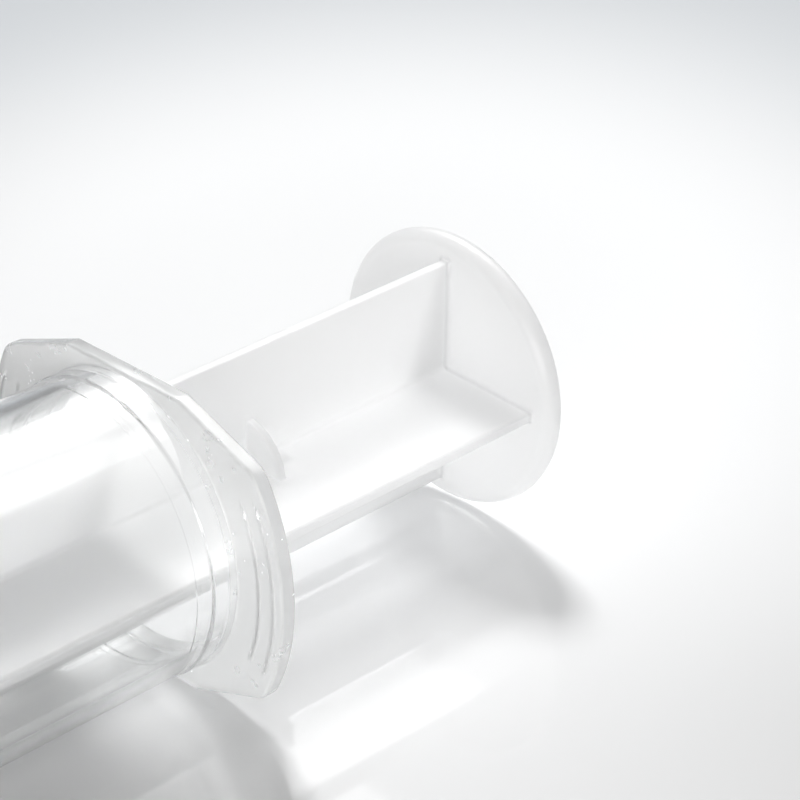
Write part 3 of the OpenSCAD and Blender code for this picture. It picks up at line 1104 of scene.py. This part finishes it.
def stopper_rubber(context):
    """Dark satin rubber with a fine grain."""
    shader = Shader("stopper_rubber")
    shader.set(
        Base_Color=(*context.scene.syringe_finishes.rubber, 1),
        Roughness=shader.uneven(1.5 * MM, 0.42, 0.58),
        IOR=RUBBER_IOR,
        Normal=shader.bump(shader.noise(0.3 * MM, detail=4), 0.02 * MM),
    )
    return shader.material


def printed_ink(context):
    """Dark printed ink, slightly uneven in gloss, made once for the lines and the numbers."""
    found = bpy.data.materials.get("printed_ink")
    if found:
        return found
    shader = Shader("printed_ink")
    shader.set(
        Base_Color=(*context.scene.syringe_finishes.ink, 1),
        Roughness=shader.uneven(0.6 * MM, 0.35, 0.5),
        Normal=shader.bump(shader.noise(0.15 * MM), 0.01 * MM, 0.4),
    )
    return shader.material


# Table, lights and camera


# Table top: its radius, the points round it, and where the tube's front end touches it
TABLE_RADIUS, TABLE_AROUND, FRONT_TOUCH = 2.5, 96, 14 * MM

# Painted pool of light in the table's middle: its place, its turn, its stretch, and the radii between which
# it fades to painted shade
LIGHT_POOL_PLACE, LIGHT_POOL_TURN, LIGHT_POOL_STRETCH = (0.1999, 0.0406, 0), math.radians(37.6), (1.266, 1, 1)
LIGHT_POOL_RADII = (0.041, 0.119)

# Length over which the painted shade round the middle turns cool, from the middle to what lies behind
SHADE_COOL_SPAN = (0, 0.06)

# Roughness of the table's gloss
TABLE_ROUGH = 0.03

# Walls as gloss shows them, with heights as sines of the angle above the floor
WALL_HEIGHTS, WALL_TONES = (0.5, 0.75), (0.35, 0.9)
COOL_HEIGHTS, COOL_TINT, WARM_TINT = (0.3, 0.7), (0.86, 0.93, 1, 1), (1, 0.997, 0.99, 1)

# Softbox as gloss shows it: the way across it, its soft edge and its least height
BOX_WAY, BOX_EDGE, BOX_HEIGHTS = (0.85, 0.365, -0.38), (-0.02, 0.04), (0.55, 0.65)

# Dim bar across the softbox: its place, its soft half width and its tone
BAR_PLACE, BAR_WIDTH, BAR_TONE = 0.17, (0, 0.05), 0.3


def table_finish(context):
    """Glossy white table that keeps the shadows, with a painted pool of light in its middle that darkens to
    painted grey shade round it.
    """
    finishes = context.scene.syringe_finishes
    shader = Shader("glossy_white_table")
    # Painted pool of light: the table's own white in the middle, fading to painted grey shade farther out
    spot = shader.node("ShaderNodeMapping", {
        "Vector": shader.place, "Location": LIGHT_POOL_PLACE, "Rotation": (0, 0, LIGHT_POOL_TURN), "Scale": LIGHT_POOL_STRETCH,
    }, vector_type="TEXTURE").outputs[0]
    away = length_over(shader.tree, spot, (1, 1, 0))
    fall = soft_step(shader.tree, away, LIGHT_POOL_RADII, (0, 1))
    cool = shader.spread(axis_value(shader.tree, spot, "X"), 0, 1, *SHADE_COOL_SPAN)
    grey = colour_between(shader.tree, cool, (*finishes.table_near, 1), (*finishes.table_far, 1))
    shader.set(
        Base_Color=colour_between(shader.tree, fall, (*finishes.table, 1), grey),
        Roughness=TABLE_ROUGH,
        IOR=TABLE_IOR,
    )
    return shader.material


def table_height(x):
    """Height of the table under the lying barrel, which rests on its shoulder end and its flange."""
    sizes = bpy.context.scene.syringe_barrel
    front = Vector((FRONT_TOUCH, -sizes.tube_r))
    back = Vector((BARREL_HIGH.x - sizes.flange_t / 2, BARREL_LOW.z))
    return front.y + (back.y - front.y) * (x - front.x) / (back.x - front.x)


def add_table(context):
    """A wide round table top under the syringe."""
    ring = []
    for k in range(TABLE_AROUND):
        turn = 2 * math.pi * k / TABLE_AROUND
        x = BARREL_HIGH.x + TABLE_RADIUS * math.cos(turn)
        ring.append((x, TABLE_RADIUS * math.sin(turn), table_height(x)))
    mesh = bpy.data.meshes.new("table_top")
    mesh.from_pydata(ring, [], [tuple(range(TABLE_AROUND))])
    mesh.materials.append(table_finish(context))
    show("table_top", mesh)


def add_lamp(name, place, aim, size, power):
    """A soft light at a place, turned to what it lights."""
    light = bpy.data.lights.new(name, "AREA")
    light.shape = "RECTANGLE"
    light.size, light.size_y = size
    light.energy = power
    lamp = show(name, light)
    lamp.location = place
    lamp.rotation_euler = (aim - place).to_track_quat("-Z", "Y").to_euler()


def add_room(context):
    """White surroundings: an even fill, and for gloss a paler wall with a wide softbox overhead."""
    studio = context.scene.syringe_studio
    world = bpy.data.worlds.new("white_room")
    context.scene.world = world
    world.use_nodes = True
    tree = world.node_tree
    way = add_node(tree, "ShaderNodeTexCoord").outputs["Generated"]
    up = axis_value(tree, way, "Z")
    path = add_node(tree, "ShaderNodeLightPath").outputs

    # Softbox with its bar, in front of the wall
    along = add_node(
        tree, "ShaderNodeVectorMath", {0: way, 1: BOX_WAY}, operation="DOT_PRODUCT"
    ).outputs["Value"]
    off_bar = math_node(tree, "ABSOLUTE", math_node(tree, "SUBTRACT", along, BAR_PLACE))
    box = soft_step(tree, along, BOX_EDGE, (0, studio.box_glow))
    box = math_node(tree, "MULTIPLY", box, soft_step(tree, up, BOX_HEIGHTS, (0, 1)))
    box = math_node(tree, "MULTIPLY", box, soft_step(tree, off_bar, BAR_WIDTH, (BAR_TONE, 1)))
    seen = math_node(tree, "ADD", soft_step(tree, up, WALL_HEIGHTS, WALL_TONES), box)

    # Gloss shows them, the camera sees plain white, and all else gets the fill
    not_through = math_node(tree, "SUBTRACT", 1, path["Is Transmission Ray"])
    mirrored = math_node(tree, "MULTIPLY", path["Is Glossy Ray"], not_through)
    for_light = add_node(tree, "ShaderNodeMix", {"Factor": mirrored, "A": studio.fill, "B": seen}).outputs[0]
    strength = add_node(tree, "ShaderNodeMix", {
        "Factor": path["Is Camera Ray"], "A": for_light, "B": 1.0,
    }).outputs[0]
    cool = math_node(tree, "MULTIPLY", mirrored, soft_step(tree, up, COOL_HEIGHTS, (1, 0)))
    paint = tree.nodes["Background"]
    tree.links.new(colour_between(tree, cool, WARM_TINT, COOL_TINT), paint.inputs["Color"])
    tree.links.new(strength, paint.inputs["Strength"])


def add_camera(context):
    """The camera at the photograph's place, found from the thumb disc's place in the picture."""
    studio, rod = context.scene.syringe_studio, context.scene.syringe_rod
    side, down, roll = studio.azimuth, studio.elevation, studio.roll
    ahead = Vector((math.sin(side) * math.cos(down), math.cos(side) * math.cos(down), -math.sin(down)))
    level = Vector((math.cos(side), -math.sin(side), 0))
    upright = level.cross(ahead)
    right = level * math.cos(roll) + upright * math.sin(roll)
    up = upright * math.cos(roll) - level * math.sin(roll)
    disc = Vector((ROD_HIGH.x - rod.thumb_t, 0, 0))
    per_width = studio.distance / studio.focal
    across = (studio.disc_u / PICTURE - 0.5) * per_width
    below = (studio.disc_v / PICTURE - 0.5) * per_width
    camera = bpy.data.cameras.new("studio_camera")
    camera.sensor_fit = "HORIZONTAL"
    camera.sensor_width = 36
    camera.lens = camera.sensor_width * studio.focal
    camera.clip_start, camera.clip_end = 0.01, 50
    holder = show("studio_camera", camera)
    holder.location = disc - ahead * studio.distance - right * across + up * below
    holder.rotation_mode = "QUATERNION"
    turned = [[right[i], up[i], -ahead[i]] for i in range(3)]
    holder.rotation_quaternion = Matrix(turned).to_quaternion()
    context.scene.camera = holder


class SYRINGE_OT_stage(bpy.types.Operator):
    """Set the table, the soft lights, the white surroundings and the camera"""

    bl_idname = "syringe.stage"
    bl_label = "Table, lights and camera"

    def execute(self, context):
        studio = context.scene.syringe_studio
        add_table(context)
        add_room(context)
        add_camera(context)
        aim = Vector(studio.aim)
        add_lamp("key_core", aim + Vector(studio.key_off), aim, studio.key_size, studio.key_power)
        above = aim + Vector(studio.softbox_off)
        below = above - Vector((0, 0, 1))
        add_lamp("wide_softbox", above, below, studio.softbox_size, studio.softbox_power)
        front = aim + Vector(studio.front_off)
        add_lamp("front_softbox", front, aim, studio.front_size, studio.front_power)
        context.scene.view_settings.view_transform = "Standard"
        return {"FINISHED"}


class SYRINGE_PT_panel(bpy.types.Panel):
    """Lists the syringe's pieces, its sizes and its finishes"""

    bl_idname = "SYRINGE_PT_panel"
    bl_label = "Clear Piston Syringe"
    bl_space_type = "VIEW_3D"
    bl_region_type = "UI"
    bl_category = "Syringe"

    def draw(self, context):
        for operator in OPERATORS:
            self.layout.operator(operator.bl_idname)
        for group in GROUPS:
            box = self.layout.box()
            box.label(text=group.__doc__)
            held = getattr(context.scene, GROUPS[group])
            for name in group.__annotations__:
                box.prop(held, name)


GROUPS = {
    SyringeBarrelSizes: "syringe_barrel",
    SyringeRodSizes: "syringe_rod",
    SyringePrintSizes: "syringe_print",
    SyringeFinishes: "syringe_finishes",
    SyringeStudio: "syringe_studio",
}
OPERATORS = (
    SYRINGE_OT_barrel,
    SYRINGE_OT_rod,
    SYRINGE_OT_stopper,
    SYRINGE_OT_scale,
    SYRINGE_OT_numbers,
    SYRINGE_OT_stage,
)


def register():
    """Registers the classes and hangs the settings on the scene."""
    for group, name in GROUPS.items():
        bpy.utils.register_class(group)
        setattr(bpy.types.Scene, name, PointerProperty(type=group))
    for operator in OPERATORS:
        bpy.utils.register_class(operator)
    bpy.utils.register_class(SYRINGE_PT_panel)


def unregister():
    """Takes the classes and the settings away again."""
    bpy.utils.unregister_class(SYRINGE_PT_panel)
    for operator in reversed(OPERATORS):
        bpy.utils.unregister_class(operator)
    for group, name in GROUPS.items():
        delattr(bpy.types.Scene, name)
        bpy.utils.unregister_class(group)


def main():
    """Builds the dressed syringe on its table."""
    register()
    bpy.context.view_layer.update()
    bpy.ops.syringe.barrel()
    bpy.ops.syringe.rod()
    bpy.ops.syringe.stopper()
    bpy.ops.syringe.scale()
    bpy.ops.syringe.numbers()
    bpy.ops.syringe.stage()


if __name__ == "__main__":
    main()
